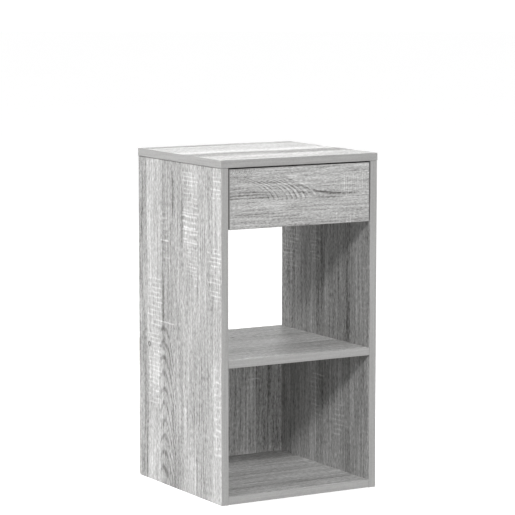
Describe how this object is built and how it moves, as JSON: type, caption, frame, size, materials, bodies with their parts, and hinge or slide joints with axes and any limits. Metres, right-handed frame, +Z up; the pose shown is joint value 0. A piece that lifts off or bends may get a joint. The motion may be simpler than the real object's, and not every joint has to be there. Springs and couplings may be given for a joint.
{
  "type": "side table with drawer",
  "caption": "Narrow side table of laminated board: inset drawer under the top on roller runners, open compartment, and a lower compartment with a thin back.",
  "frame": {"origin": "on the floor, under the middle of the table's box", "axes": "+X to the table's right as seen from the front, -Y the front that the drawer opens towards, +Z up"},
  "size_m": [0.345, 0.335, 0.653],
  "materials": {
    "oak_board": "laminated particleboard, pale grey saw-marked oak print, satin",
    "back_sheet": "thin printed fibreboard, grey oak print, satin",
    "drawer_board": "laminated board, grey oak print, satin",
    "coated_steel": "white powder coat",
    "zinc_steel": "zinc plated",
    "zinc_casting": "die-cast zinc",
    "bolt_steel": "zinc plated",
    "nylon": "white nylon"
  },
  "bodies": {
    "cabinet": {"top_panel": "oak_board", "left_side_panel": "oak_board", "right_side_panel": "oak_board", "bottom_panel": "oak_board", "shelf": "oak_board", "back_panel": "back_sheet", "cabinet_runner_left": "coated_steel", "cabinet_runner_right": "coated_steel", "front_roller_pin_left": "zinc_steel", "front_roller_pin_right": "zinc_steel", "cabinet_runner_screw_left_front": "zinc_steel", "cabinet_runner_screw_left_rear": "zinc_steel", "cabinet_runner_screw_right_front": "zinc_steel", "cabinet_runner_screw_right_rear": "zinc_steel", "cam_bottom_left_front": "zinc_casting", "cam_bottom_left_rear": "zinc_casting", "cam_bottom_right_front": "zinc_casting", "cam_bottom_right_rear": "zinc_casting", "cam_shelf_left_front": "zinc_casting", "cam_shelf_left_rear": "zinc_casting", "cam_shelf_right_front": "zinc_casting", "cam_shelf_right_rear": "zinc_casting", "cam_top_left_front": "zinc_casting", "cam_top_left_rear": "zinc_casting", "cam_top_right_front": "zinc_casting", "cam_top_right_rear": "zinc_casting", "cam_bolt_bottom_left_front": "bolt_steel", "cam_bolt_bottom_left_rear": "bolt_steel", "cam_bolt_bottom_right_front": "bolt_steel", "cam_bolt_bottom_right_rear": "bolt_steel", "cam_bolt_shelf_left_front": "bolt_steel", "cam_bolt_shelf_left_rear": "bolt_steel", "cam_bolt_shelf_right_front": "bolt_steel", "cam_bolt_shelf_right_rear": "bolt_steel", "cam_bolt_top_left_front": "bolt_steel", "cam_bolt_top_left_rear": "bolt_steel", "cam_bolt_top_right_front": "bolt_steel", "cam_bolt_top_right_rear": "bolt_steel"},
    "drawer": {"drawer_front": "oak_board", "drawer_left_side": "drawer_board", "drawer_right_side": "drawer_board", "drawer_back": "drawer_board", "drawer_bottom": "drawer_board", "drawer_runner_left": "coated_steel", "drawer_runner_right": "coated_steel", "rear_roller_pin_left": "zinc_steel", "rear_roller_pin_right": "zinc_steel", "drawer_runner_screw_left_front": "zinc_steel", "drawer_runner_screw_left_rear": "zinc_steel", "drawer_runner_screw_right_front": "zinc_steel", "drawer_runner_screw_right_rear": "zinc_steel", "cam_drawer_left": "zinc_casting", "cam_drawer_right": "zinc_casting", "cam_bolt_drawer_left": "bolt_steel", "cam_bolt_drawer_right": "bolt_steel"},
    "front_roller_left": {"front_roller_left": "nylon"},
    "front_roller_right": {"front_roller_right": "nylon"},
    "rear_roller_left": {"rear_roller_left": "nylon"},
    "rear_roller_right": {"rear_roller_right": "nylon"}
  },
  "joints": [
    {"name": "drawer_slide", "type": "slide", "parent": "cabinet", "child": "drawer", "axis": [0, -1, 0], "range_m": [0, 0.22]},
    {"name": "front_roller_left_turn", "type": "hinge", "parent": "cabinet", "child": "front_roller_left", "pos_m": [-0.1504, -0.1385, 0.5435], "axis": [1, 0, 0], "continuous": true},
    {"name": "front_roller_right_turn", "type": "hinge", "parent": "cabinet", "child": "front_roller_right", "pos_m": [0.1504, -0.1385, 0.5435], "axis": [1, 0, 0], "continuous": true},
    {"name": "rear_roller_left_turn", "type": "hinge", "parent": "drawer", "child": "rear_roller_left", "pos_m": [-0.1501, 0.1338, 0.54], "axis": [1, 0, 0], "continuous": true},
    {"name": "rear_roller_right_turn", "type": "hinge", "parent": "drawer", "child": "rear_roller_right", "pos_m": [0.1501, 0.1338, 0.54], "axis": [1, 0, 0], "continuous": true}
  ],
  "couplings": [
    {"joint": "front_roller_left_turn", "follows": "drawer_slide", "rad_per_m": 125},
    {"joint": "front_roller_right_turn", "follows": "drawer_slide", "rad_per_m": 125},
    {"joint": "rear_roller_left_turn", "follows": "drawer_slide", "rad_per_m": 125},
    {"joint": "rear_roller_right_turn", "follows": "drawer_slide", "rad_per_m": 125}
  ]
}
